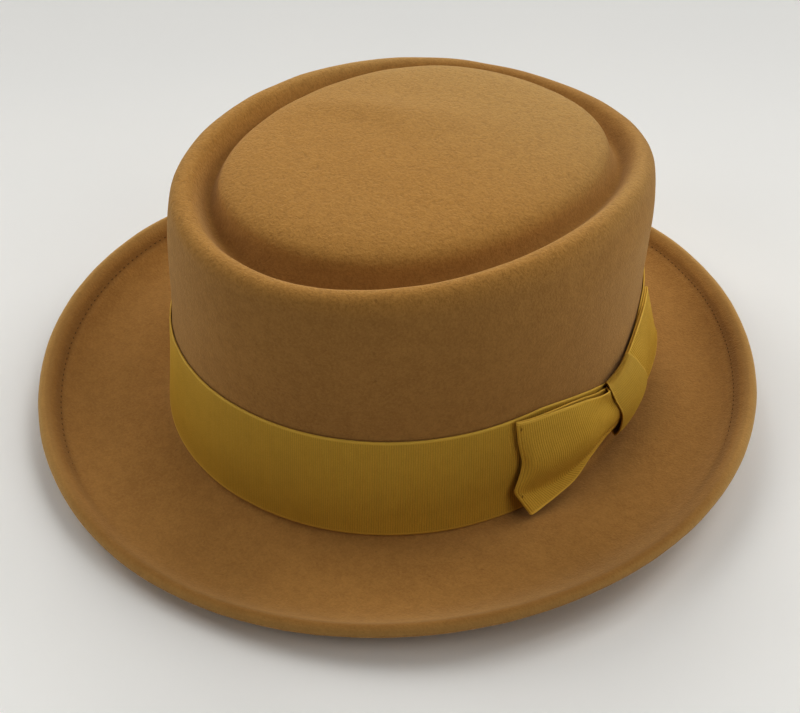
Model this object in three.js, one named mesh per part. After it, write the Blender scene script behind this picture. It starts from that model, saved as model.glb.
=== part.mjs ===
// Felt hat with a flat, sunken-rimmed crown, a curled brim, a grosgrain ribbon and a side bow
//
// Millimetres, +Z up, resting on the plane z = 0. The front of the hat looks along -Y and its wearer's
// left side, with the bow, is +X. Heights in the tables are measured from the ribbon's lower edge.

import * as THREE from 'three';

// Driving dimensions
const feltThickness = 2.4;
const ribbonThickness = 1;
const ribbonWidth = 39;
const ribbonGap = 0.4;
const ribbonFoot = 6.9;
const crownSetBack = 2.9;
const rimRadius = 5;
const hemRadius = 2.5;
const stitchInset = 8.4;
const hemWidth = 10.2;
const hemDepth = 4.4;
const hemDrop = 1.9;
// What lies nearer than this to the surface that the hat rests on is flattened on it
const restReach = 0.5;
const columns = 60;

// Ovals of the hat, front at angle 0. Half length runs front to back, half width from side to side.
// egg widens the back, square fills the corners, lobe is a slight three-cornered swell and skew draws in
// the front corner on the bow's side. shift moves an oval back and aside moves it towards the bow.
const crownFoot = { halfLength: 102.4, halfWidth: 86.4, egg: -0.019, lobe: -0.015 };
const crownAtRibbonTop = { halfLength: 98.4, halfWidth: 83.3, egg: -0.019, lobe: -0.015 };
const crownHigh = { halfLength: 98, halfWidth: 83.4, egg: 0, lobe: -0.008 };
const crownRim = { halfLength: 92.2, halfWidth: 74.6, shift: -0.4, egg: 0.018, square: -0.009 };
const brimEdge = { halfLength: 146.9, halfWidth: 138.3, shift: -2.9, egg: -0.081, square: 0.009 };

// Heights of the side wall's rows: just over the ribbon, half way up, and where it leans in to the rim
const wallHeights = { band: 40, low: 57, high: 74, bend: 81 };

// Heights that change round the hat: level, plus tilt at the front, saddle at front and back, lean at the
// bow's side and twist at the corners
const rimHeight = { level: 88.4, tilt: 3.8, saddle: -2.7 };
const edgeHeight = { level: 5.5, tilt: -0.2, saddle: -5 };
const middleHeight = { level: -1.9, tilt: 0, saddle: -3.1 };
const footHeight = -2.4;

// Arcs of the rim and of the turned edge, in degrees from straight out (0) to straight up (90)
const rimTurns = [145, 120, 95, 70, 45, 20];
const hemTurns = [125, 90, 50, 10, -30, -70, -100];

// The small round where the side wall runs into the brim: where it starts, its corner below the foot
// and where it ends as a share of the way to the stitch line
const footRound = { start: -0.6, corner: 0.4, end: 0.09 };

// Top of the crown, from its middle out to the bottom of the sunken ring
const crownTop = [
  { name: 'dome', halfLength: 22, halfWidth: 18, shift: 1, aside: -3, level: 98.7 },
  { name: 'plateau', halfLength: 45, halfWidth: 37, shift: 1.5, aside: -3, level: 97.9 },
  { name: 'shoulder', halfLength: 61.5, halfWidth: 51, shift: 1.5, aside: -3, level: 96.9 },
  { name: 'brow', halfLength: 71, halfWidth: 59, shift: 1.4, aside: -3, level: 95.2 },
  { name: 'edge', halfLength: 75.3, halfWidth: 62.4, shift: 1.2, aside: -2.8, level: 92.8 },
  {
    name: 'flank', halfLength: 77, halfWidth: 63.8, shift: 1, aside: -2.4,
    level: 88.5, saddle: -1, lean: -0.8,
  },
  {
    name: 'groove', halfLength: 80.8, halfWidth: 66, aside: -1.4,
    level: 84.4, saddle: -3.5, lean: -1.8, twist: -1.2,
  },
];
const crownTip = { shift: 1, aside: -3, level: 99 };
const islandForm = { egg: 0.05, square: -0.016, skew: 0.022 };
const topSteps = 14;

// Brim rows as a share of the way from the crown's foot to the stitch line
const brimShares = [0.16, 0.34, 0.52, 0.7, 0.86, 1];

// The ribbon is drawn together under the knot of the bow: degrees from the knot's middle over which
// its edges are held in, and where they are straight again towards the front and the back
const knotAngle = 100;
const topPinch = { depth: 9.5, hold: 6, front: 25, back: 17 };
const footPinch = { depth: 5.6, hold: 10, front: 18, back: 18 };

// Bow loops, a row for each section from the knot to the end. Heights as above; out is how far the
// face stands off the ribbon at its top and bottom edge, swell what it bulges between them.
const frontWing = [
  { angle: 96, top: 29.5, bottom: 15, outTop: 4.2, outBottom: 4.2, swell: 0.6 },
  { angle: 91.5, top: 33, bottom: 15.4, outTop: 3.8, outBottom: 5, swell: 1 },
  { angle: 86, top: 36.8, bottom: 13.8, outTop: 3.3, outBottom: 5.9, swell: 0.6 },
  { angle: 79, top: 39.6, bottom: 9, outTop: 2.9, outBottom: 6.9, swell: -0.4 },
  { angle: 73, top: 40.2, bottom: 3.4, outTop: 2.7, outBottom: 7.2, swell: -1.4 },
  { angle: 68.3, top: 40.4, bottom: 1, outTop: 2.6, outBottom: 7, swell: -2 },
];
const backWing = [
  { angle: 104, top: 29.5, bottom: 15, outTop: 4, outBottom: 4, swell: 0.6 },
  { angle: 108.5, top: 33, bottom: 15.4, outTop: 3.6, outBottom: 4.6, swell: 0.8 },
  { angle: 114, top: 36.2, bottom: 13, outTop: 3, outBottom: 5.2, swell: 0.8 },
  { angle: 120.5, top: 37.6, bottom: 9, outTop: 2.7, outBottom: 5.6, swell: 0.6 },
  { angle: 127, top: 37.4, bottom: 5, outTop: 2.6, outBottom: 5.6, swell: 0 },
  { angle: 132, top: 37, bottom: 3, outTop: 2.6, outBottom: 5.2, swell: -0.6 },
];
// Lines along a loop as a share of its height, and the sway of its end on each of them, in degrees
// along the hat
const wingLines = [1, 0.84, 0.68, 0.53, 0.38, 0.22, 0];
const frontEndSway = [-1, -0.5, 0, 0.3, 0, -1.2, 2.6];
const backEndSway = [0.6, 0.3, 0, -0.2, 0, 0.9, -1.6];
const wingSteps = 10;
const wingTuck = 4;
const wingUnderOut = 0.9;
const wingFoldReach = 1.6;

// Wrap of the knot, a row for each section from its top end over the front to its lower end
const knotRows = [
  { height: 31.4, left: 93, right: 99.6, out: 0.9 },
  { height: 34.4, left: 92.6, right: 99.6, out: 2 },
  { height: 35.2, left: 92, right: 100.4, out: 4.2 },
  { height: 31.4, left: 91.6, right: 102.4, out: 6.2 },
  { height: 23, left: 93, right: 105.2, out: 6.8 },
  { height: 15.6, left: 94.2, right: 105.8, out: 6.6 },
  { height: 9.6, left: 94.6, right: 106.2, out: 5.4 },
  { height: 6.6, left: 94.4, right: 106, out: 3.2 },
  { height: 7.6, left: 94.4, right: 106, out: 1.3 },
];
const knotShares = [0, 0.2, 0.5, 0.8, 1];

const feltMaterial = new THREE.MeshStandardMaterial({ color: 0x9a6a30, roughness: 0.95, metalness: 0 });
const ribbonMaterial = new THREE.MeshStandardMaterial({ color: 0x8a6a1c, roughness: 0.7, metalness: 0 });

const radians = THREE.MathUtils.degToRad;
const mix = THREE.MathUtils.lerp;

function ease(share) {
  const t = THREE.MathUtils.clamp(share, 0, 1);
  return t * t * (3 - 2 * t);
}

// A height that changes round the hat
function around({ level, tilt = 0, saddle = 0, lean = 0, twist = 0 }, angle) {
  const once = tilt * Math.cos(angle) + lean * Math.sin(angle);
  const twice = saddle * Math.cos(2 * angle) + twist * Math.sin(2 * angle);
  return level + once + twice;
}

function ovalPoint(oval, angle, height) {
  const { halfLength, halfWidth, shift = 0, aside = 0, egg = 0, square = 0, lobe = 0, skew = 0 } = oval;
  const corners = 1 + square * Math.cos(4 * angle) - skew * Math.sin(2 * angle);
  const stretch = corners * (1 + lobe * Math.cos(3 * angle));
  const x = halfWidth * Math.sin(angle) * (1 - egg * Math.cos(angle)) * stretch;
  const y = shift - halfLength * Math.cos(angle) * stretch;
  return new THREE.Vector3(x + aside, y + crownSetBack, height + ribbonFoot);
}

// Level direction that points away from the middle of the hat
function outward(point) {
  return new THREE.Vector3(point.x, point.y - crownSetBack, 0).normalize();
}

// A point on an arc round a centre, turned from straight out (0) to straight up (90)
function arcPoint(centre, radius, degrees) {
  const turn = radians(degrees);
  const out = outward(centre).multiplyScalar(radius * Math.cos(turn));
  return centre.clone().add(out).setZ(centre.z + radius * Math.sin(turn));
}

// Outer face of the crown's side wall
function wallPoint(angle, height) {
  const foot = ovalPoint(crownFoot, angle, height);
  const atTop = ovalPoint(crownAtRibbonTop, angle, height);
  return foot.lerp(atTop, height / ribbonWidth);
}

// Stitch line in the valley inside the curled edge of the brim
function stitchPoint(angle, inset = stitchInset) {
  const edge = ovalPoint(brimEdge, angle, around(edgeHeight, angle) - hemDrop);
  return edge.sub(outward(edge).multiplyScalar(inset));
}

function brimPoint(angle, share) {
  const start = wallPoint(angle, footHeight);
  const end = stitchPoint(angle);
  const middle = around(middleHeight, angle) + ribbonFoot;
  const bow = 4 * share * (1 - share);
  const height = mix(start.z, end.z, share * share) * (1 - bow) + middle * bow;
  return start.lerp(end, share).setZ(height);
}

// One column of the felt's upper face, from the crown's middle to the stitch line in the brim
function feltColumn(angle) {
  const rows = crownTop.map((row) => ovalPoint({ ...row, ...islandForm }, angle, around(row, angle)));
  const rimCentre = ovalPoint(crownRim, angle, around(rimHeight, angle));
  const rim = rimTurns.map((turn) => arcPoint(rimCentre, rimRadius, turn));
  const top = new THREE.CatmullRomCurve3([...rows, rim[0]], false, 'centripetal').getPoints(topSteps);
  const high = ovalPoint(crownHigh, angle, wallHeights.high);
  const bend = high.clone().setZ(wallHeights.bend + ribbonFoot);
  const lean = new THREE.QuadraticBezierCurve3(rim.pop(), bend, high).getPoints(3);
  const low = wallPoint(angle, ribbonWidth).lerp(high, 0.5).setZ(wallHeights.low + ribbonFoot);
  const foot = [wallHeights.band, 0].map((height) => wallPoint(angle, height));
  const brim = brimShares.map((share) => brimPoint(angle, share));
  const round = new THREE.QuadraticBezierCurve3(
    wallPoint(angle, footRound.start),
    wallPoint(angle, footHeight - footRound.corner),
    brimPoint(angle, footRound.end));
  return [...top, ...rim.slice(1), ...lean, low, ...foot, ...round.getPoints(2), ...brim];
}

// Rounded edge of the brim, turned under on itself
function hemColumn(angle) {
  const edge = ovalPoint(brimEdge, angle, around(edgeHeight, angle));
  const centre = edge.sub(outward(edge).multiplyScalar(hemRadius));
  return hemTurns.map((turn) => arcPoint(centre, hemRadius, turn));
}

// Closed mesh from rings of equal length that run from one pole to the other
function ringSolid(firstPole, rings, lastPole) {
  const points = [firstPole, ...rings.flat(), lastPole];
  const positions = points.flatMap((point) => point.toArray());
  const count = rings[0].length;
  const at = (ring, column) => 1 + ring * count + (column % count);
  const last = 1 + rings.length * count;
  const faces = [];
  for (let c = 0; c < count; c += 1) {
    faces.push(0, at(0, c), at(0, c + 1));
    for (let r = 0; r < rings.length - 1; r += 1) {
      faces.push(at(r, c), at(r + 1, c), at(r + 1, c + 1));
      faces.push(at(r, c), at(r + 1, c + 1), at(r, c + 1));
    }
    faces.push(last, at(rings.length - 1, c + 1), at(rings.length - 1, c));
  }
  const geometry = new THREE.BufferGeometry();
  geometry.setAttribute('position', new THREE.Float32BufferAttribute(positions, 3));
  geometry.setIndex(faces);
  return geometry;
}

// Normals of a grid of points, row by row. The columns close on themselves where closed is true.
function gridNormals(grid, closed) {
  const rowCount = grid.length;
  const count = grid[0].length;
  const near = (index, step) => (closed
    ? (index + step + count) % count
    : THREE.MathUtils.clamp(index + step, 0, count - 1));
  return grid.map((row, r) => row.map((point, c) => {
    const down = grid[Math.min(r + 1, rowCount - 1)][c].clone().sub(grid[Math.max(r - 1, 0)][c]);
    const along = row[near(c, 1)].clone().sub(row[near(c, -1)]);
    return down.cross(along).normalize();
  }));
}

function buildFelt() {
  const angles = Array.from({ length: columns }, (_, c) => (c / columns) * 2 * Math.PI);
  const upperColumns = angles.map(feltColumn);
  const hemColumns = angles.map(hemColumn);
  const toRings = (perColumn) => perColumn[0].map((_, r) => perColumn.map((column) => column[r]));
  const upper = toRings(upperColumns);
  const hem = toRings(hemColumns);
  const normals = gridNormals([...upper, hem[0]], true);
  // Under faces: two layers thick in the turned edge, one layer elsewhere, flat where the hat rests
  const offset = (ring, r, depth) => ring.map((point, c) => {
    const under = point.clone().addScaledVector(normals[r][c], -depth);
    return under.z < restReach ? under.setZ(0) : under;
  });
  const stitchRow = upper.length - 1;
  const hemInner = angles.map((angle) => stitchPoint(angle, hemWidth));
  const doubled = offset(hemInner, stitchRow, hemDepth);
  const single = offset(hemInner, stitchRow, feltThickness);
  const inner = upper.slice(0, stitchRow).map((ring, r) => offset(ring, r, feltThickness)).reverse();
  const topPole = ovalPoint({ ...crownTip, halfLength: 0, halfWidth: 0 }, 0, crownTip.level);
  const underPole = topPole.clone().setZ(topPole.z - feltThickness);
  const valleyUnder = offset(upper[stitchRow], stitchRow, 2 * feltThickness);
  return ringSolid(topPole, [...upper, ...hem, valleyUnder, doubled, single, ...inner], underPole);
}

// A sheet of even thickness laid on a grid of points. closed joins the last column to the first.
function sheetSolid(grid, thickness, closed = false) {
  const normals = gridNormals(grid, closed);
  const rowCount = grid.length;
  const count = grid[0].length;
  const steps = closed ? count : count - 1;
  const shift = (side) => grid.map((row, r) => row.map((point, c) =>
    point.clone().addScaledVector(normals[r][c], side * thickness / 2)));
  const positions = [...shift(1), ...shift(-1)].flat().flatMap((point) => point.toArray());
  const face = (r, c) => r * count + (c % count);
  const back = (r, c) => rowCount * count + face(r, c);
  const faces = [];
  const quad = (a, b, c, d) => faces.push(a, b, c, a, c, d);
  for (let c = 0; c < steps; c += 1) {
    for (let r = 0; r < rowCount - 1; r += 1) {
      quad(face(r, c), face(r + 1, c), face(r + 1, c + 1), face(r, c + 1));
      quad(back(r, c), back(r, c + 1), back(r + 1, c + 1), back(r + 1, c));
    }
    quad(face(0, c), face(0, c + 1), back(0, c + 1), back(0, c));
    quad(face(rowCount - 1, c), back(rowCount - 1, c), back(rowCount - 1, c + 1), face(rowCount - 1, c + 1));
  }
  for (let r = 0; r < rowCount - 1 && !closed; r += 1) {
    quad(face(r, 0), back(r, 0), back(r + 1, 0), face(r + 1, 0));
    quad(face(r, count - 1), face(r + 1, count - 1), back(r + 1, count - 1), back(r, count - 1));
  }
  const geometry = new THREE.BufferGeometry();
  geometry.setAttribute('position', new THREE.Float32BufferAttribute(positions, 3));
  geometry.setIndex(faces);
  return geometry;
}

// A place beside the ribbon: angle in degrees, height, and distance out from the ribbon's outer face
function besideRibbon(degrees, height, out) {
  const onWall = wallPoint(radians(degrees), height);
  return onWall.addScaledVector(outward(onWall), ribbonGap + ribbonThickness + out);
}

// How far an edge of the ribbon is drawn in at an angle
function pinchDepth({ depth, hold, front, back }, degrees) {
  const away = degrees - knotAngle;
  const reach = away < 0 ? front : back;
  return depth * ease((reach - Math.abs(away)) / (reach - hold));
}

function buildBand() {
  const bandColumns = 2 * columns;
  const column = (c) => {
    const degrees = (c / bandColumns) * 360;
    const top = ribbonWidth - pinchDepth(topPinch, degrees);
    const foot = pinchDepth(footPinch, degrees);
    return [top, foot].map((height) => besideRibbon(degrees, height, -ribbonThickness / 2));
  };
  const perColumn = Array.from({ length: bandColumns }, (_, c) => column(c));
  return sheetSolid([0, 1].map((r) => perColumn.map((points) => points[r])), ribbonThickness, true);
}

// A section between two rows of a table
function between(rows, share, names) {
  const place = share * (rows.length - 1);
  const index = Math.min(Math.floor(place), rows.length - 2);
  const blend = place - index;
  const at = (name) => mix(rows[index][name], rows[index + 1][name], blend);
  return Object.fromEntries(names.map((name) => [name, at(name)]));
}

// A ribbon loop: the under layer runs from the knot to the end, folds, and comes back as the face
function buildWing(rows, endSway, foldSide) {
  const names = ['angle', 'top', 'bottom', 'outTop', 'outBottom', 'swell'];
  const section = (step) => ({ ...between(rows, step / wingSteps, names), reach: step / wingSteps });
  const place = (row, line, out, top) => {
    const share = wingLines[line];
    const sway = endSway[line] * row.reach ** 3;
    return besideRibbon(row.angle + sway, mix(row.bottom, top, share), out);
  };
  const face = (row, line) => {
    const share = wingLines[line];
    const out = mix(row.outBottom, row.outTop, share) + row.swell * 4 * share * (1 - share);
    return place(row, line, out - ribbonThickness / 2, row.top);
  };
  const under = (row, line) => place(row, line, wingUnderOut, row.top - wingTuck * (1 - row.reach) ** 2);
  const fold = (row, line) => {
    const beyond = { ...row, angle: row.angle + foldSide };
    const along = place(beyond, line, 0, row.top).sub(place(row, line, 0, row.top)).normalize();
    return face(row, line).lerp(under(row, line), 0.5).addScaledVector(along, wingFoldReach);
  };
  const sections = [];
  for (let step = 0; step <= wingSteps; step += 1) sections.push([under, section(step)]);
  sections.push([fold, section(wingSteps)]);
  for (let step = wingSteps; step >= 0; step -= 1) sections.push([face, section(step)]);
  const grid = wingLines.map((_, line) => sections.map(([layer, row]) => layer(row, line)));
  return sheetSolid(foldSide < 0 ? grid : grid.reverse(), ribbonThickness);
}

function buildKnot() {
  const grid = knotRows.map((row) => knotShares.map((share) =>
    besideRibbon(mix(row.left, row.right, share), row.height, row.out)));
  return sheetSolid(grid, ribbonThickness);
}

const hat = new THREE.Group();

function add(name, geometry, material) {
  const piece = new THREE.Mesh(geometry, material.clone());
  piece.name = name;
  hat.add(piece);
}

add('felt_body', buildFelt(), feltMaterial);
add('ribbon_band', buildBand(), ribbonMaterial);
add('bow_front_wing', buildWing(frontWing, frontEndSway, -1), ribbonMaterial);
add('bow_back_wing', buildWing(backWing, backEndSway, 1), ribbonMaterial);
add('bow_knot', buildKnot(), ribbonMaterial);

export default hat;
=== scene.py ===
import math
from bisect import bisect

import bmesh
import bpy
from mathutils import Matrix, Vector
from mathutils.bvhtree import BVHTree


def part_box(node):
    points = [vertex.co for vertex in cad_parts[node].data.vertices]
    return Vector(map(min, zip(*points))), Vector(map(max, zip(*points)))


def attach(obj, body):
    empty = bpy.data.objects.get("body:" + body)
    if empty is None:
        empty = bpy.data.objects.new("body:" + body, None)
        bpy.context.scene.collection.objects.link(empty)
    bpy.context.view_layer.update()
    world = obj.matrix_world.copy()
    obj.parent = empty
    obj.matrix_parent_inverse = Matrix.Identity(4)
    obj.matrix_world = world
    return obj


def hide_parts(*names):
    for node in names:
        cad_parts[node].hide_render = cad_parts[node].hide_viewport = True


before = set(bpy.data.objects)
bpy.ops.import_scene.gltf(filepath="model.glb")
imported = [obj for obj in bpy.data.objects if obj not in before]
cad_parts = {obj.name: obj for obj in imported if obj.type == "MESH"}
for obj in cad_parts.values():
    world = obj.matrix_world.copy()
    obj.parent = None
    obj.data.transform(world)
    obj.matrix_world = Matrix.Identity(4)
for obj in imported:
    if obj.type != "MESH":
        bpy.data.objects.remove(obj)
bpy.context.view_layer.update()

# A felt hat with a sunken ring in its crown, a ribbon and a side bow. Metres, the front looks along -Y.
millimetre = 0.001
fullTurn = 2 * math.pi
mergeWithin = 1e-6


# Camera and light

cameraSettings = {
    "target": (0.0348, -0.0467, 0.0569),
    "azimuth": 40.564,
    "elevation": 38.373,
    "distance": 0.51843,
    "roll": 0.544,
    "lens": 66.89,
    "sensor": 36.0,
    "clipStart": 0.01,
}


def fromAngles(azimuth, elevation):
    a, e = math.radians(azimuth), math.radians(elevation)
    return Vector((math.sin(a) * math.cos(e), -math.cos(a) * math.cos(e), math.sin(e)))


def makeCamera(settings):
    back = fromAngles(settings["azimuth"], settings["elevation"])
    level = Vector((0, 0, 1)).cross(back).normalized()
    upright = back.cross(level)
    roll = math.radians(settings["roll"])
    right = math.cos(roll) * level + math.sin(roll) * upright
    up = math.cos(roll) * upright - math.sin(roll) * level
    data = bpy.data.cameras.new("camera")
    data.lens = settings["lens"]
    data.sensor_width = settings["sensor"]
    data.clip_start = settings["clipStart"]
    camera = bpy.data.objects.new("camera", data)
    bpy.context.scene.collection.objects.link(camera)
    place = Vector(settings["target"]) + settings["distance"] * back
    camera.matrix_world = Matrix.Translation(place) @ Matrix((right, up, back)).transposed().to_4x4()
    bpy.context.scene.camera = camera


makeCamera(cameraSettings)
print("camera set")

# Soft lamps all round the hat, stronger behind it, their azimuths counted from the camera's own
lightSettings = {
    "world": ((1.0, 1.0, 1.0), 0.03),
    "backdrop": 0.74,  # strength of the world where it is looked at, past the paper's end
    "gamma": 0.8,
    "aim": (0, 0, 0.05),
    "distance": 2.4,
    "size": 1.3,
    "tint": (1.0, 0.995, 0.975),
    "lamps": [
        {"name": "highFrontRight", "azimuth": 60, "elevation": 60, "power": 5.5},
        {"name": "highRight", "azimuth": 120, "elevation": 60, "power": 13.8},
        {"name": "highLeft", "azimuth": 240, "elevation": 60, "power": 6},
        {"name": "frontRight", "azimuth": 60, "elevation": 30, "power": 11.9},
        {"name": "right", "azimuth": 120, "elevation": 30, "power": 15},
        {"name": "back", "azimuth": 180, "elevation": 30, "power": 22},
        {"name": "left", "azimuth": 240, "elevation": 30, "power": 16.4},
        {"name": "frontLeft", "azimuth": 300, "elevation": 30, "power": 11.9},
    ],
}


def makeWorld(settings):
    world = bpy.data.worlds.new("studio")
    world.use_nodes = True
    tree = world.node_tree
    background = tree.nodes["Background"]
    tint, strength = settings["world"]
    background.inputs["Color"].default_value = (*tint, 1)
    seen = tree.nodes.new("ShaderNodeMath")
    seen.operation = "MULTIPLY_ADD"
    seen.inputs[1].default_value = settings["backdrop"] - strength
    seen.inputs[2].default_value = strength
    lookedAt = tree.nodes.new("ShaderNodeLightPath").outputs["Is Camera Ray"]
    tree.links.new(lookedAt, seen.inputs[0])
    tree.links.new(seen.outputs[0], background.inputs["Strength"])
    bpy.context.scene.world = world


def makeLamp(light, settings):
    name = light["name"] + "Lamp"
    data = bpy.data.lights.new(name, "AREA")
    data.size = settings["size"]
    data.energy = light["power"]
    data.color = settings["tint"]
    lamp = bpy.data.objects.new(name, data)
    bpy.context.scene.collection.objects.link(lamp)
    away = fromAngles(cameraSettings["azimuth"] + light["azimuth"], light["elevation"])
    lamp.location = away * settings["distance"] + Vector(settings["aim"])
    lamp.rotation_mode = "QUATERNION"
    lamp.rotation_quaternion = away.to_track_quat("Z", "Y")


def setView(settings):
    view = bpy.context.scene.view_settings
    view.view_transform = "Standard"
    view.look = "None"
    view.exposure = 0.0
    view.gamma = settings["gamma"]


makeWorld(lightSettings)
for light in lightSettings["lamps"]:
    makeLamp(light, lightSettings)
setView(lightSettings)
print("lights set")


# Materials

class Wire:
    # one socket of a material, with the sums that the materials use
    def __init__(self, graph, socket):
        self.graph = graph
        self.socket = socket

    def __add__(self, other):
        return self.graph.maths("ADD", self, other)

    def __mul__(self, other):
        return self.graph.maths("MULTIPLY", self, other)

    def __sub__(self, other):
        return self.graph.maths("SUBTRACT", self, other)

    def __rsub__(self, other):
        return self.graph.maths("SUBTRACT", other, self)

    __radd__ = __add__
    __rmul__ = __mul__

    def between(self, low, high):
        inputs = {"Value": self, "From Min": low, "From Max": high}
        return self.graph.make("ShaderNodeMapRange", {"interpolation_type": "SMOOTHSTEP"}, inputs)


class Graph:
    # a material's nodes: make adds one and gives back the output asked for
    def __init__(self, name):
        self.material = bpy.data.materials.new(name)
        self.material.use_nodes = True
        self.tree = self.material.node_tree
        self.tree.nodes.clear()

    def make(self, kind, settings, inputs, output=0):
        node = self.tree.nodes.new(kind)
        for key, value in settings.items():
            setattr(node, key, value)
        for key, value in inputs.items():
            socket = node.inputs[key]
            if isinstance(value, Wire):
                self.tree.links.new(value.socket, socket)
            elif isinstance(value, tuple) and len(value) == 3 and socket.type == "RGBA":
                socket.default_value = (*value, 1)
            else:
                socket.default_value = value
        return Wire(self, node.outputs[output])

    def maths(self, operation, *values):
        return self.make("ShaderNodeMath", {"operation": operation}, dict(enumerate(values)))

    def place(self, where="Object", scale=(1, 1, 1)):
        start = self.make("ShaderNodeTexCoord", {}, {}, where)
        return self.make("ShaderNodeMapping", {}, {"Vector": start, "Scale": scale})

    def part(self, where, axis):
        return self.make("ShaderNodeSeparateXYZ", {}, {"Vector": self.place(where)}, axis)

    def toward(self, way):
        # metres from the hat's middle in a level direction
        return self.part("Object", "X") * way[0] + self.part("Object", "Y") * way[1]

    def noise(self, vector, scale, detail, roughness=0.5, distortion=0.0):
        inputs = {"Vector": vector, "Scale": scale, "Detail": detail, "Roughness": roughness,
                  "Distortion": distortion}
        return self.make("ShaderNodeTexNoise", {}, inputs, "Fac")

    def blend(self, factor, first, second):
        # sockets 6 and 7 take the node's two colours, and its output 2 gives the mixed one
        inputs = {"Factor": factor, 6: first, 7: second}
        return self.make("ShaderNodeMix", {"data_type": "RGBA"}, inputs, 2)

    def bump(self, height, strength, distance):
        inputs = {"Height": height, "Strength": strength, "Distance": distance}
        return self.make("ShaderNodeBump", {}, inputs)

    def finish(self, inputs):
        surface = self.make("ShaderNodeBsdfPrincipled", {}, inputs)
        output = self.tree.nodes.new("ShaderNodeOutputMaterial")
        self.tree.links.new(surface.socket, output.inputs["Surface"])
        return self.material


# The brim's flatter side lies between its front and the bow, and the paper's painted light is palest that
# way
flatSide = (0.65, -0.76)

# high and low are the stretches of a noise's values that its high and low places show from. Spans are in
# metres: islandHeight up, islandBack to the back, flatSide towards the brim's flatter side, and the others
# in from its stitch line. Each layer leads the colour so far towards another one, from the base up.
feltLooks = {
    "colours": {
        "base": (0.385, 0.203, 0.057),
        "dark": (0.25, 0.124, 0.032),
        "light": (0.52, 0.297, 0.09),
        # painted light: the island top's tone at its front
        "paintedLitTop": (0.505, 0.27, 0.068),
        # painted sheen: on the island's back, the brim's edge and its roll
        "paintedSheen": (0.525, 0.335, 0.124),
    },
    "noises": {
        "clouds": {"scale": 24, "detail": 2.0},
        "mottle": {"scale": 230, "detail": 3.0, "roughness": 0.55},
        "nap": {"scale": 950, "detail": 2.0, "roughness": 0.6, "distortion": 0.3},
        "fleck": {"scale": 1900, "detail": 2.0, "roughness": 0.6},
        "crepe": {"scale": 420, "detail": 3.0, "roughness": 0.55, "distortion": 1.2},
        "speck": {"scale": 480, "detail": 1.0},
    },
    "high": {"mottle": (0.3, 0.7), "nap": (0.48, 0.68), "speck": (0.73, 0.78)},
    "low": {"clouds": (0.3, 0.7), "nap": (0.32, 0.5), "fleck": (0.34, 0.5), "crepe": (0.34, 0.58)},
    "spans": {
        "islandHeight": (0.094, 0.102),
        "islandBack": (-0.02, 0.07),
        "channel": (0.0002, 0.0024),
        "pucker": (0.001, 0.0045),
        "upperFace": (-0.03, -0.0088),
        "edge": (-0.0086, -0.0062),
        "roll": (-0.005, -0.0025),
        "shade": (-0.0034, -0.001),
        "shadeEnd": (0, 0.0008),
        "flatSide": (0.055, 0.105),
    },
    "layers": [
        {"mask": "mottle", "towards": "light", "amount": 0.3},
        {"mask": "clouds", "towards": "dark", "amount": 0.14},
        # painted light: the island top is lifted to a lighter tone, with painted sheen towards its back
        {"mask": "island", "towards": "island", "amount": 0.7},
        {"mask": "napTop", "towards": "light", "amount": 0.25, "onIsland": 0.2},
        {"mask": "napFoot", "towards": "dark", "amount": 0.17, "onIsland": 0.1},
        {"mask": "fleck", "towards": "dark", "amount": 0.12},
        {"mask": "crepe", "towards": "dark", "amount": 0.18},
        # painted shade in the stitched channel and beside it, where the roll's hollow lies in shadow
        {"mask": "channel", "towards": "dark", "amount": 0.4},
        {"mask": "shade", "towards": "dark", "amount": 0.4},
        # painted sheen on the brim's outer edge and, away from the flatter side, on its roll
        {"mask": "edge", "towards": "paintedSheen", "amount": 0.4},
        {"mask": "sharpRollSheen", "towards": "paintedSheen", "amount": 0.4},
        # painted shade on the roll along the brim's flatter side
        {"mask": "flatRollShade", "towards": "dark", "amount": 0.3},
        {"mask": "speck", "towards": "dark", "amount": 0.35},
    ],
    "grain": {"nap": 0.8, "fleck": 0.3, "crepe": 0.3, "onIsland": 1.5, "pucker": 0.8, "channel": 0.9},
    "bump": {"strength": 0.5, "distance": 0.0005},
    "finish": {
        "Roughness": 0.92,
        "Specular IOR Level": 0.16,
        "Sheen Weight": 0.5,
        "Sheen Roughness": 0.5,
        "Sheen Tint": (0.8, 0.62, 0.38, 1),
    },
}


def seamMasks(g, spans):
    # what lies along the brim's edge: the stitched channel with its puckers and painted shade in it, the
    # painted shade beside it, and the rim of the edge and the roll between them with painted sheen, all
    # sharper away from the brim's flatter side, where the roll gets painted shade instead
    inset = g.make("ShaderNodeAttribute", {"attribute_name": "seam"}, {}, "Fac")
    besideSeam = g.maths("ABSOLUTE", inset)
    upperFace = inset.between(*spans["upperFace"])
    sharp = 1 - g.toward(flatSide).between(*spans["flatSide"])
    edge = (1 - inset.between(*spans["edge"])) * upperFace
    roll = (1 - inset.between(*spans["roll"])) * upperFace
    shade = inset.between(*spans["shade"]) * (1 - inset.between(*spans["shadeEnd"]))
    return {
        "channel": (1 - besideSeam.between(*spans["channel"])) * sharp,
        "pucker": (1 - besideSeam.between(*spans["pucker"])) * sharp,
        "shade": shade * sharp,
        "edge": edge,
        "sharpRollSheen": roll * sharp,
        "flatRollShade": roll * (1 - sharp) * (1 - edge),
    }


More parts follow.
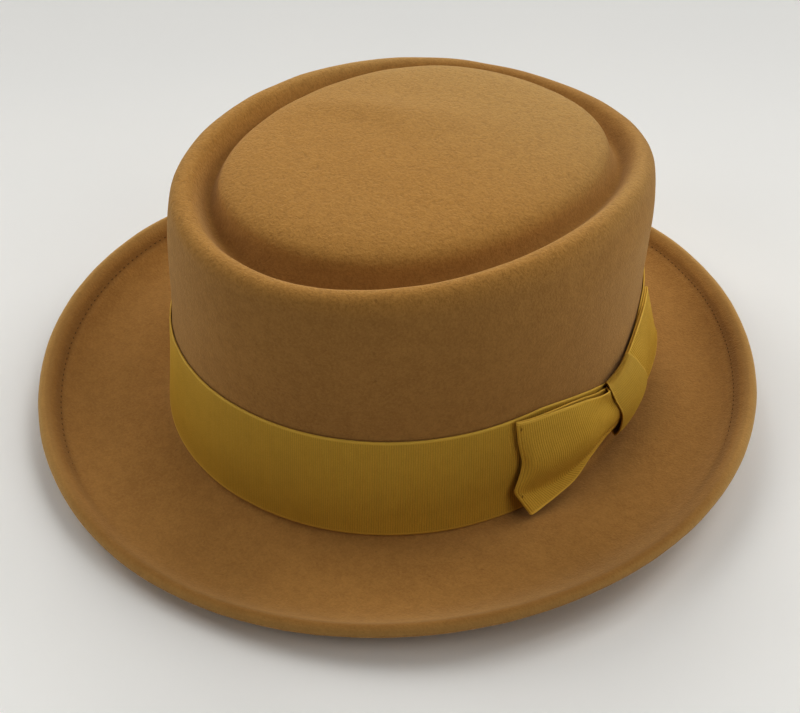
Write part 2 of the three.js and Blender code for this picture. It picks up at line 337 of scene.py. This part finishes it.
def feltMaterial(looks):
    g = Graph("felt")
    spans = looks["spans"]
    noises = {name: g.noise(g.place(), **noise) for name, noise in looks["noises"].items()}
    high = {name: noises[name].between(*span) for name, span in looks["high"].items()}
    low = {name: 1 - noises[name].between(*span) for name, span in looks["low"].items()}
    island = g.part("Object", "Z").between(*spans["islandHeight"])
    masks = {
        **seamMasks(g, spans),
        "mottle": high["mottle"],
        "clouds": low["clouds"],
        "island": island,
        "napTop": high["nap"],
        "napFoot": low["nap"],
        "fleck": low["fleck"],
        "crepe": low["crepe"] * island,
        "speck": high["speck"],
    }
    colours = dict(looks["colours"])
    # painted light on the island top, lighter towards its front, with painted sheen towards its back
    backward = g.part("Object", "Y").between(*spans["islandBack"])
    colours["island"] = g.blend(backward, colours["paintedLitTop"], colours["paintedSheen"])
    tone = colours["base"]
    for layer in looks["layers"]:
        amount = layer["amount"]
        if "onIsland" in layer:
            amount = island * layer["onIsland"] + amount
        tone = g.blend(masks[layer["mask"]] * amount, tone, colours[layer["towards"]])
    depths = looks["grain"]
    crinkle = island * depths["onIsland"] + masks["pucker"] * depths["pucker"] + depths["crepe"]
    grain = noises["nap"] * depths["nap"] + noises["fleck"] * depths["fleck"]
    grain = grain + noises["crepe"] * crinkle - masks["channel"] * depths["channel"]
    bump = g.bump(grain, **looks["bump"])
    return g.finish({**looks["finish"], "Base Color": tone, "Normal": bump})


# Angles are in degrees from the hat's front towards the bow. A pinch has its whole depth as far as hold on
# both sides of the knot, and ends at its front and back reach.
ribbonSettings = {
    "width": 0.039,
    "thickness": 0.0006,
    "gap": 0.0003,
    "ribs": 714,
    "ribDepth": 0.00008,
    "pointsPerRib": 4,
    "rows": 12,
    "selvedge": (0.0005, 0.0011),
    "knotAngle": 100,
    "topPinch": {"depth": 0.0105, "hold": 6, "front": 28, "back": 19, "power": 1.3},
    "footPinch": {"depth": 0.0056, "hold": 10, "front": 19, "back": 19},
    "topLie": {"height": 0.0008, "at": 50},
    "footLie": {"height": -0.0008, "at": 100},
}

# Painted light: the knot's copy of the ribbon is darkened as painted shade and the wings' copy lightened a
# little
ribbonLooks = {
    "colours": {"base": (0.60, 0.374, 0.044), "dark": (0.38, 0.217, 0.02), "light": (0.76, 0.515, 0.095)},
    "paintedLightFactors": {"ribbon": 1, "shadedKnotRibbon": 0.91, "litWingRibbon": 1.07},
    "yarnPitch": 0.00035,
    "yarn": {"scale": 1.4, "detail": 2.0},
    "yarnSpan": (0.3, 0.7),
    "yarnAmount": 0.45,
    # painted shade in the hollows between the ribs
    "valleyShadeSpan": (-0.9, 0.4),
    "valleyShadeAmount": 0.46,
    "mottle": {"scale": 210, "detail": 3.0},
    "mottleSpan": (0.4, 0.7),
    "mottleAmount": 0.1,
    "selvedgeSpan": (0.00072, 0.00108),
    "selvedgeAmount": 0.65,
    "bump": {"strength": 0.3, "distance": 0.0002},
    "finish": {
        "Roughness": 0.6,
        "Specular IOR Level": 0.3,
        "Sheen Weight": 0.22,
        "Sheen Roughness": 0.4,
        "Sheen Tint": (0.85, 0.68, 0.24, 1),
    },
}


def ribbonMaterial(name, looks):
    # the ribbon's own map counts ribs in its first number and metres across it in its second
    g = Graph(name)
    # painted shade or painted light: the knot's and the wings' copies of the ribbon
    shade = looks["paintedLightFactors"][name]
    colours = {key: tuple(part * shade for part in colour) for key, colour in looks["colours"].items()}
    ribs = g.part("UV", "X")
    across = g.part("UV", "Y")
    ridge = g.maths("COSINE", ribs * fullTurn)
    edge = g.maths("MINIMUM", across, ribbonSettings["width"] - across)
    woven = 1 - edge.between(*looks["selvedgeSpan"])
    # painted shade in the hollows between the ribs, off the woven edges
    valleyShade = (1 - ridge.between(*looks["valleyShadeSpan"])) * (1 - woven)
    yarn = g.noise(g.place("UV", (1, 1 / looks["yarnPitch"], 1)), **looks["yarn"])
    mottle = g.noise(g.place(), **looks["mottle"]).between(*looks["mottleSpan"])
    tone = g.blend(yarn.between(*looks["yarnSpan"]) * looks["yarnAmount"], colours["base"],
                   colours["light"])
    tone = g.blend(valleyShade * looks["valleyShadeAmount"], tone, colours["dark"])
    tone = g.blend(mottle * looks["mottleAmount"], tone, colours["dark"])
    tone = g.blend(woven * looks["selvedgeAmount"], tone, colours["light"])
    bump = g.bump(yarn, **looks["bump"])
    return g.finish({**looks["finish"], "Base Color": tone, "Normal": bump})


threadLooks = {
    "colours": {"thread": (0.19, 0.093, 0.028), "tackThread": (0.46, 0.275, 0.04)},
    "speckle": {"scale": 900, "detail": 3.0},
    "darker": 0.7,
    "finish": {"Roughness": 0.85, "Specular IOR Level": 0.2},
}


def threadMaterial(name, looks):
    g = Graph(name)
    colour = looks["colours"][name]
    darker = tuple(part * looks["darker"] for part in colour)
    tone = g.blend(g.noise(g.place(), **looks["speckle"]), colour, darker)
    return g.finish({**looks["finish"], "Base Color": tone})


felt = feltMaterial(feltLooks)
ribbon = ribbonMaterial("ribbon", ribbonLooks)
shadedKnotRibbon = ribbonMaterial("shadedKnotRibbon", ribbonLooks)
litWingRibbon = ribbonMaterial("litWingRibbon", ribbonLooks)
thread = threadMaterial("thread", threadLooks)
tackThread = threadMaterial("tackThread", threadLooks)
print("materials made")


# Helpers

def pieceFrom(bm, name, material, replaced=()):
    mesh = bpy.data.meshes.new(name)
    bm.to_mesh(mesh)
    bm.free()
    mesh.polygons.foreach_set("use_smooth", [True] * len(mesh.polygons))
    mesh.materials.append(material)
    piece = bpy.data.objects.new(name, mesh)
    bpy.context.scene.collection.objects.link(piece)
    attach(piece, "root")
    for node in replaced:
        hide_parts(node)
    return piece


def ease(share):
    t = min(max(share, 0.0), 1.0)
    return t * t * (3 - 2 * t)


def curveAt(places, values, at):
    # a smooth value at one place along a list of values, whose places may lie unevenly
    index = min(max(bisect(places, at) - 1, 0), len(places) - 2)
    width = places[index + 1] - places[index]
    t = min(max((at - places[index]) / width, 0.0), 1.0)

    def slope(step):
        low, high = max(step - 1, 0), min(step + 1, len(places) - 1)
        return (values[high] - values[low]) / (places[high] - places[low]) * width

    return ((2 * t ** 3 - 3 * t ** 2 + 1) * values[index] + (t ** 3 - 2 * t ** 2 + t) * slope(index)
            + (3 * t ** 2 - 2 * t ** 3) * values[index + 1] + (t ** 3 - t ** 2) * slope(index + 1))


def curveThrough(values, share):
    return curveAt([step / (len(values) - 1) for step in range(len(values))], values, share)


# Felt: crown and brim, with the small unevenness of blocked felt

# Stitches of the brim's turned edge, whose line the felt's colour follows too, with painted shade and
# painted sheen
stitchSettings = {
    "count": 286,
    "inset": 0.0084,
    "length": 0.0016,
    "radius": 0.0003,
    "sunk": 0.00014,
    "hidden": 0.0003,  # how much deeper they lie on the brim's flatter side
    "hiddenAt": 40,
    "hiddenSpan": (0.35, 0.7),  # cosines of the angle from hiddenAt between which they sink
    "dropFrom": 0.05,
}

feltSettings = {
    "levels": 2,
    "unevenness": 0.0005,
    "patch": 0.022,
    "squareUp": 70,  # largest angle in degrees at which two triangles become one face
    "middle": 0.0001,
    "facing": 0.3,  # how level the felt faces where it counts as its upper side
    "farFromSeam": 0.05,
    "edgeSearch": {"start": 0.2, "rise": 0.0006, "steps": 34},
    "ridge": {
        "above": 0.093,
        "at": (-0.027, 0.016),
        "aim": (0.89, 0.46),
        "long": 0.03,
        "short": 0.008,
        "height": 0.0018,
    },
}

bandLow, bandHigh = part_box("ribbon_band")
bandGirth = (bandHigh - bandLow) / 2
bandFoot = bandLow.z
crownMiddle = Vector(((bandLow.x + bandHigh.x) / 2, (bandLow.y + bandHigh.y) / 2, 0))


def edgeRadius(surface, away):
    # how far the brim reaches from the crown's middle in one direction
    search = feltSettings["edgeSearch"]
    best = 0.0
    for step in range(search["steps"]):
        start = crownMiddle + away * search["start"] + Vector((0, 0, search["rise"] * step))
        hit = surface.ray_cast(start, -away)[0]
        if hit:
            best = max(best, (hit - Vector((crownMiddle.x, crownMiddle.y, hit.z))).length)
    return best


def markSeam(bm, settings):
    # each point's distance in from the brim's stitch line, on the upper and outer side of the felt
    facing = settings["facing"]
    surface = BVHTree.FromBMesh(bm)
    layer = bm.verts.layers.float.new("seam")
    bm.normal_update()
    reaches = {}
    for point in bm.verts:
        flat = Vector((point.co.x, point.co.y, 0)) - crownMiddle
        if flat.length < settings["middle"]:
            point[layer] = math.copysign(settings["farFromSeam"], point.normal.z)
            continue
        away = flat.normalized()
        key = round(math.degrees(math.atan2(away.x, -away.y)))
        if key not in reaches:
            reaches[key] = edgeRadius(surface, away)
        outward = point.normal.z > -facing and point.normal.dot(away) > 0
        outer = point.normal.z > facing or outward
        inset = reaches[key] - flat.length - stitchSettings["inset"]
        point[layer] = inset if outer else -settings["farFromSeam"]


def raiseRidge(bm, ridge):
    # a soft swelling across the crown's island
    aim = Vector(ridge["aim"])
    for point in bm.verts:
        if point.co.z > ridge["above"]:
            offset = point.co.xy - Vector(ridge["at"])
            along = offset.dot(aim) / ridge["long"]
            across = offset.cross(aim) / ridge["short"]
            point.co.z += ridge["height"] * math.exp(-along ** 2 - across ** 2)


def makeFelt(settings):
    bm = bmesh.new()
    bm.from_mesh(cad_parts["felt_body"].data)
    bmesh.ops.remove_doubles(bm, verts=bm.verts, dist=mergeWithin)
    limit = math.radians(settings["squareUp"])
    bmesh.ops.join_triangles(bm, faces=bm.faces[:], angle_face_threshold=limit, angle_shape_threshold=limit)
    markSeam(bm, settings)
    raiseRidge(bm, settings["ridge"])
    piece = pieceFrom(bm, "feltHat", felt, ("felt_body",))
    smooth = piece.modifiers.new("round", "SUBSURF")
    smooth.levels = smooth.render_levels = settings["levels"]
    cloud = bpy.data.textures.new("feltPatches", "CLOUDS")
    cloud.noise_scale = settings["patch"]
    uneven = piece.modifiers.new("uneven", "DISPLACE")
    uneven.texture = cloud
    uneven.texture_coords = "LOCAL"
    uneven.strength = settings["unevenness"]
    return piece


feltHat = makeFelt(feltSettings)
bpy.context.view_layer.update()
feltSurface = BVHTree.FromObject(feltHat, bpy.context.evaluated_depsgraph_get())
print("felt made")


# The ribbon lies on the crown's wall: places on it are found from the felt

wallSearch = {"lowest": 0.0005, "start": 0.006}


def girthAt(degrees):
    angle = math.radians(degrees)
    return Vector((bandGirth.x * math.sin(angle), -bandGirth.y * math.cos(angle), 0))


def outwardAt(degrees):
    return girthAt(degrees).normalized()


def besideWall(degrees, height, out):
    # degrees from the front towards the bow, height above the ribbon's foot and distance off the wall
    away = outwardAt(degrees)
    level = bandFoot + max(height, wallSearch["lowest"])
    start = girthAt(degrees) + Vector((0, 0, level)) + crownMiddle + away * wallSearch["start"]
    hit = feltSurface.ray_cast(start, -away)[0]
    return Vector((hit.x, hit.y, bandFoot + height)) + away * out


def crowded(share):
    # rows lie closer together at the ribbon's two edges
    return 0.5 - 0.5 * math.cos(math.pi * share)


def ribbonGrid(name, ribs, rows, place, replaced, closed=False, material=ribbon):
    # a grid one metre square whose points are put in place by their shares along and across the ribbon,
    # with a map that counts ribs along it and metres across it
    bm = bmesh.new()
    perRib = ribbonSettings["pointsPerRib"]
    layer = bm.loops.layers.uv.new("UVMap")
    bmesh.ops.create_grid(bm, x_segments=ribs * perRib, y_segments=rows, size=0.5)
    bm.verts.index_update()
    shares = [(point.co.x + 0.5, crowded(point.co.y + 0.5)) for point in bm.verts]
    for face in bm.faces:
        for corner in face.loops:
            along, across = shares[corner.vert.index]
            corner[layer].uv = (along * ribs, across * ribbonSettings["width"])
    for point in bm.verts:
        point.co = place(*shares[point.index])
    if closed:
        bmesh.ops.remove_doubles(bm, verts=bm.verts, dist=mergeWithin)
    piece = pieceFrom(bm, name, material, replaced)
    wall = piece.modifiers.new("thickness", "SOLIDIFY")
    wall.thickness = ribbonSettings["thickness"]
    wall.offset = 0
    return piece


def selvedge(across):
    # 1 on the woven edge of a ribbon, 0 on its ribbed middle
    edge = min(across, 1 - across) * ribbonSettings["width"]
    start, end = ribbonSettings["selvedge"]
    return 1 - ease((edge - start) / (end - start))


def pinchShare(pinch, degrees):
    # 1 under the knot, 0 where the ribbon has its full width
    away = degrees - ribbonSettings["knotAngle"]
    reach = pinch["front"] if away < 0 else pinch["back"]
    return min(max((reach - abs(away)) / (reach - pinch["hold"]), 0), 1)


def lie(slant, degrees):
    # the ribbon isn't quite level round the hat
    return slant["height"] * math.cos(math.radians(degrees - slant["at"]))


def makeBand(settings):
    out = settings["gap"] + settings["thickness"] / 2
    count = settings["ribs"]
    topPinch, footPinch = settings["topPinch"], settings["footPinch"]

    def place(along, across):
        degrees = 360 * along
        lowered = topPinch["depth"] * pinchShare(topPinch, degrees) ** topPinch["power"]
        raised = footPinch["depth"] * ease(pinchShare(footPinch, degrees))
        top = settings["width"] - lowered + lie(settings["topLie"], degrees)
        foot = raised + lie(settings["footLie"], degrees)
        height = foot + (top - foot) * across
        rib = settings["ribDepth"] * math.cos(fullTurn * count * along) * (1 - selvedge(across))
        return besideWall(degrees, height, out + rib)

    piece = ribbonGrid("ribbonBand", count, settings["rows"], place, ("ribbon_band",), True)


makeBand(ribbonSettings)
print("ribbon band made")


# Bow

# A wing is one loop of ribbon: an upper layer, the fold at the wing's end and an under layer back to the
# knot. Plain lengths are in metres, and outs, gaps, tuck and the pressed line's depth in mm.
bowSettings = {
    "crease": 0.74,  # share of the way down a wing at which its lower part is creased
    "foldShare": 0.02,  # share of each layer that bends round the fold
    "foldReach": 0.0007,
    "layerGap": 0.75,
    "settle": 0.45,  # share of the wing, from its fold, in which the under layer comes down to the band
    "leastOut": 1.28,  # the under layer comes no nearer the wall
    "tuck": 0.4,  # how far the under layer's edges stand back from the upper layer's
    "softens": 4,  # power by which the folds grow softer from the wing's end to the knot
    "ribDepth": 0.00009,
    "ribPitch": 0.00083,
    "pressed": {"inset": 0.0012, "width": 0.0003, "depth": 0.16},  # a line along the wing's end
    "rows": 40,
}

# Sections run from the knot to the fold, and reach is the degrees between the two. turn is in degrees
# round the hat and out is in mm off the wall, both at the top edge, two lines under it, the crease and the
# bottom edge. height is in mm over the ribbon's foot at the top edge, the crease and the bottom edge. Each
# place is averaged over its spread down the wing, the first number near the knot and the second at the fold.
frontWing = {
    "length": 0.05,
    "reach": 29,
    "underOut": 2.3,
    "spread": (0.08, 0.008),
    "sections": [
        {"height": (28.6, 15, 11), "turn": (96, 96, 96, 96.4, 97),
         "out": (1.9, 5, 6.2, 5.8, 4.6)},
        {"height": (29.6, 15.4, 11.2), "turn": (92.6, 92.6, 92.8, 93.2, 94.4),
         "out": (2.1, 5.4, 6.8, 6.2, 4.9)},
        {"height": (30.6, 16, 12.2), "turn": (91.2, 90.4, 90, 90.6, 91.6),
         "out": (4.7, 4.7, 6.7, 6.5, 5.5)},
        {"height": (31.8, 16, 12.6), "turn": (88.6, 87.4, 87, 87.6, 88.4),
         "out": (4.9, 5.5, 7.1, 6.6, 6)},
        {"height": (35, 14, 10.8), "turn": (83.6, 82.6, 82.5, 82.9, 83.5),
         "out": (4.3, 6.3, 7.7, 6.9, 6.9)},
        {"height": (37.4, 10.6, 6.4), "turn": (78, 77.7, 77.8, 78.3, 79.1),
         "out": (3.9, 5.6, 7.1, 5.7, 7.4)},
        {"height": (38.7, 9.2, 4.2), "turn": (73.1, 73.1, 73.4, 74, 75.4),
         "out": (3.5, 5, 6.5, 4.8, 7.2)},
        {"height": (39.2, 9.2, 2.3), "turn": (69.1, 69.3, 69.4, 69, 71.1),
         "out": (3.2, 4.1, 5.3, 4.3, 7.3)},
        {"height": (39.7, 10.6, 1.3), "turn": (66.2, 66.9, 67.8, 65.8, 68.6),
         "out": (3, 2.9, 3.2, 4.1, 7.6)},
    ],
    "way": -1,
}

backWing = {
    "length": 0.042,
    "reach": 27,
    "underOut": 1.4,
    "spread": (0.12, 0.05),
    "sections": [
        {"height": (30, 16.5, 12.6), "turn": (99, 99.6, 100.4, 101, 101.6),
         "out": (2.1, 4, 5, 5, 4.6)},
        {"height": (33.8, 17, 13), "turn": (104.4, 105, 105.6, 106.4, 107),
         "out": (2.1, 4.2, 5.4, 6, 6)},
        {"height": (36.7, 16, 12), "turn": (109.4, 109.6, 110, 110.6, 111.4),
         "out": (2.1, 4, 5.4, 6.2, 6.4)},
        {"height": (38.1, 14.6, 10.6), "turn": (114.4, 114.6, 115, 115.8, 116.6),
         "out": (2.1, 3.7, 5, 5.8, 6.4)},
        {"height": (38.5, 13.4, 9.2), "turn": (119.6, 120, 121, 122, 123),
         "out": (2.1, 3.5, 4.8, 5.8, 6.6)},
        {"height": (38.1, 12.6, 8.2), "turn": (124.4, 126, 127.9, 129.8, 131.6),
         "out": (2.1, 3.4, 4.6, 5.8, 6.8)},
    ],
    "way": 1,
}


def wingPlace(wing, reach, share):
    # turn, height and out at a share of the way to the wing's end and a share down from its top edge,
    # each line along the wing measured from the fold, so that the ribs stay evenly spaced
    rows = wing["sections"][::-1]
    away = (1 - reach) * wing["reach"]
    creaseLine, footLine = 3, 4

    def at(name, entry, line):
        places = [abs(row["turn"][line] - rows[0]["turn"][line]) for row in rows]
        return curveAt(places, [row[name][entry] for row in rows], away)

    creased = bowSettings["crease"]
    turns = [start - wing["way"] * away for start in rows[0]["turn"]]
    outs = [at("out", line, line) for line in range(len(turns))]
    top, crease, foot = (at("height", *place) for place in enumerate((0, creaseLine, footLine)))
    low = (share - creased) / (1 - creased)
    if low > 0:
        turned = turns[creaseLine] + (turns[footLine] - turns[creaseLine]) * low
        out = outs[creaseLine] + (outs[footLine] - outs[creaseLine]) * low
        return turned, crease + (foot - crease) * low, out
    down = share / creased
    turned = curveThrough(turns[:footLine], down)
    out = curveThrough(outs[:footLine], down)
    return turned, top + (crease - top) * down, out


def makeWing(name, wing, node):
    half = bowSettings["foldShare"]
    length = wing["length"]
    pressed = bowSettings["pressed"]
    ribs = round(2 * length / bowSettings["ribPitch"])
    soft, crisp = wing["spread"]

    def place(along, across):
        side = 2 * along - 1
        share = 1 - across
        reach = 1 - max(abs(side) - half, 0) / (1 - half)
        spread = min(soft + (crisp - soft) * reach ** bowSettings["softens"], share, 1 - share)
        steps = [wingPlace(wing, reach, share + spread * step / 2) for step in (-2, -1, 0, 1, 2)]
        degrees, height, face = (sum(values) / len(steps) for values in zip(*steps))
        settle = ease((1 - reach) / bowSettings["settle"])
        under = (face - bowSettings["layerGap"]) * (1 - settle) + wing["underOut"] * settle
        under = max(under, bowSettings["leastOut"])
        bend = min(max(side / half, -1), 1)
        out = (face + under) / 2 + (face - under) / 2 * math.sin(math.pi / 2 * bend)
        if side < 0:
            height += bowSettings["tuck"] * settle * (2 * share - 1)
        else:
            inset = (side * length - pressed["inset"]) / pressed["width"]
            out -= pressed["depth"] * math.exp(-inset ** 2)
        ripple = bowSettings["ribDepth"] * math.cos(fullTurn * ribs * along) * (1 - selvedge(across))
        beyond = bowSettings["foldReach"] * math.cos(math.pi / 2 * bend) * wing["way"]
        away = outwardAt(degrees)
        point = besideWall(degrees, height * millimetre, out * millimetre + ripple)
        return point + Vector((-away.y, away.x, 0)) * beyond

    piece = ribbonGrid(name, ribs, bowSettings["rows"], place, (node,), material=litWingRibbon)


makeWing("bowFrontWing", frontWing, "bow_front_wing")
makeWing("bowBackWing", backWing, "bow_back_wing")

# Wrap of the knot from its hidden upper end over the front to its lower end, with the height, turn and
# out of its left and its right side
knotSettings = {
    "rows": 24,
    "length": 0.048,
    "width": 0.018,
    "swell": 0.5,
    "sections": [
        {"height": (27, 29), "turn": (93.6, 101.6), "out": (1.3, 1.3)},
        {"height": (30.2, 32.2), "turn": (93, 102), "out": (1.3, 1.5)},
        {"height": (31.4, 33.4), "turn": (92.4, 102.6), "out": (2.6, 2.6)},
        {"height": (30.6, 31), "turn": (91.8, 103.4), "out": (4.6, 4.8)},
        {"height": (26, 25), "turn": (92.2, 105.4), "out": (6.7, 6.8)},
        {"height": (18.4, 18.8), "turn": (94, 107.4), "out": (7.8, 7.6)},
        {"height": (11.6, 12.6), "turn": (95, 106.4), "out": (6.8, 7.5)},
        {"height": (6, 7.6), "turn": (95.6, 104), "out": (5, 5.8)},
        {"height": (4, 5), "turn": (95.8, 103), "out": (3.2, 3.2)},
        {"height": (6.6, 7), "turn": (95.8, 103), "out": (1.4, 1.4)},
    ],
}


def makeKnot(settings):
    rows = settings["sections"]
    ribs = round(settings["length"] / bowSettings["ribPitch"])

    def place(along, across):
        height, degrees, out = (
            curveThrough([row[name][0] * (1 - across) + row[name][1] * across for row in rows], along)
            for name in ("height", "turn", "out"))
        out += settings["swell"] * math.sin(math.pi * across)
        ripple = bowSettings["ribDepth"] * math.cos(fullTurn * ribs * along) * (1 - selvedge(across))
        return besideWall(degrees, height * millimetre, out * millimetre + ripple)

    piece = ribbonGrid("bowKnot", ribs, settings["rows"], place, ("bow_knot",), material=shadedKnotRibbon)


makeKnot(knotSettings)
print("bow made")


# Stitches: two that hold the fold of the front wing and a row that holds the turned edge of the brim

def brimTop(point):
    start = Vector((point.x, point.y, stitchSettings["dropFrom"]))
    return feltSurface.ray_cast(start, Vector((0, 0, -1)))[:2]


def addStitch(bm, settings, point, normal, along, sunk):
    side = normal.cross(along).normalized()
    shape = Matrix((along * settings["length"] / 2, side * settings["radius"], normal * settings["radius"]))
    place = Matrix.Translation(point - normal * sunk) @ shape.transposed().to_4x4()
    bmesh.ops.create_icosphere(bm, subdivisions=1, radius=1, matrix=place)


tackSettings = {
    "length": 0.0018,
    "radius": 0.0003,
    "out": 0.00034,
    "places": [{"reach": 0.988, "down": 0.07}, {"reach": 0.982, "down": 0.79}],
}


def makeTacks(settings):
    bm = bmesh.new()
    for tack in settings["places"]:
        degrees, height, out = wingPlace(frontWing, tack["reach"], tack["down"])
        point = besideWall(degrees, height * millimetre, out * millimetre + settings["out"])
        addStitch(bm, settings, point, outwardAt(degrees), Vector((0, 0, 1)), 0)
    pieceFrom(bm, "bowTacks", tackThread)


def makeStitches(settings):
    # they lie deeper in the nap along the brim's flatter side
    bm = bmesh.new()
    start, end = settings["hiddenSpan"]
    line = []
    for step in range(settings["count"]):
        angle = fullTurn * step / settings["count"]
        away = Vector((math.sin(angle), -math.cos(angle), 0))
        line.append(brimTop(crownMiddle + away * (edgeRadius(feltSurface, away) - settings["inset"])))
    for step, (point, normal) in enumerate(line):
        along = (line[(step + 1) % len(line)][0] - line[step - 1][0]).normalized()
        near = math.cos(fullTurn * step / len(line) - math.radians(settings["hiddenAt"]))
        sunk = settings["sunk"] + settings["hidden"] * ease((near - start) / (end - start))
        addStitch(bm, settings, point, normal, along, sunk)
    pieceFrom(bm, "brimStitches", thread)


makeTacks(tackSettings)
makeStitches(stitchSettings)
print("stitches made")


# Floor

# Paper with painted light, a little darker behind the hat and paler towards the brim's flatter side, that
# fades into the backdrop at its far ends
floorSettings = {
    "size": 1.5,
    "drop": 0.0003,
    # painted light: darker tones behind the hat and paler ones in front of it
    "behind": ((0.66, 0.66, 0.655), (0.68, 0.675, 0.665)),
    "front": ((0.895, 0.895, 0.885), (0.915, 0.91, 0.895)),
    "speckle": {"scale": 9, "detail": 2.0},
    "paler": (-0.42, 0.06),
    "fade": (0.5, 1.15),
    "finish": {"Roughness": 0.9, "Specular IOR Level": 0.1},
}


def paperMaterial(settings):
    g = Graph("paper")
    speckle = g.noise(g.place(), **settings["speckle"])
    behind = g.blend(speckle, *settings["behind"])
    front = g.blend(speckle, *settings["front"])
    # painted light, paler towards the brim's flatter side
    tone = g.blend(g.toward(flatSide).between(*settings["paler"]), behind, front)
    away = g.make("ShaderNodeVectorMath", {"operation": "LENGTH"}, {0: g.place()}, "Value")
    fade = 1 - away.between(*settings["fade"])
    return g.finish({**settings["finish"], "Base Color": tone, "Alpha": fade})


def makeFloor(settings):
    bm = bmesh.new()
    bmesh.ops.create_grid(bm, x_segments=1, y_segments=1, size=settings["size"])
    mesh = bpy.data.meshes.new("floor")
    bm.to_mesh(mesh)
    bm.free()
    mesh.materials.append(paperMaterial(settings))
    floor = bpy.data.objects.new("floor", mesh)
    bpy.context.scene.collection.objects.link(floor)
    floor.location.z = -settings["drop"]


makeFloor(floorSettings)
print("floor made")
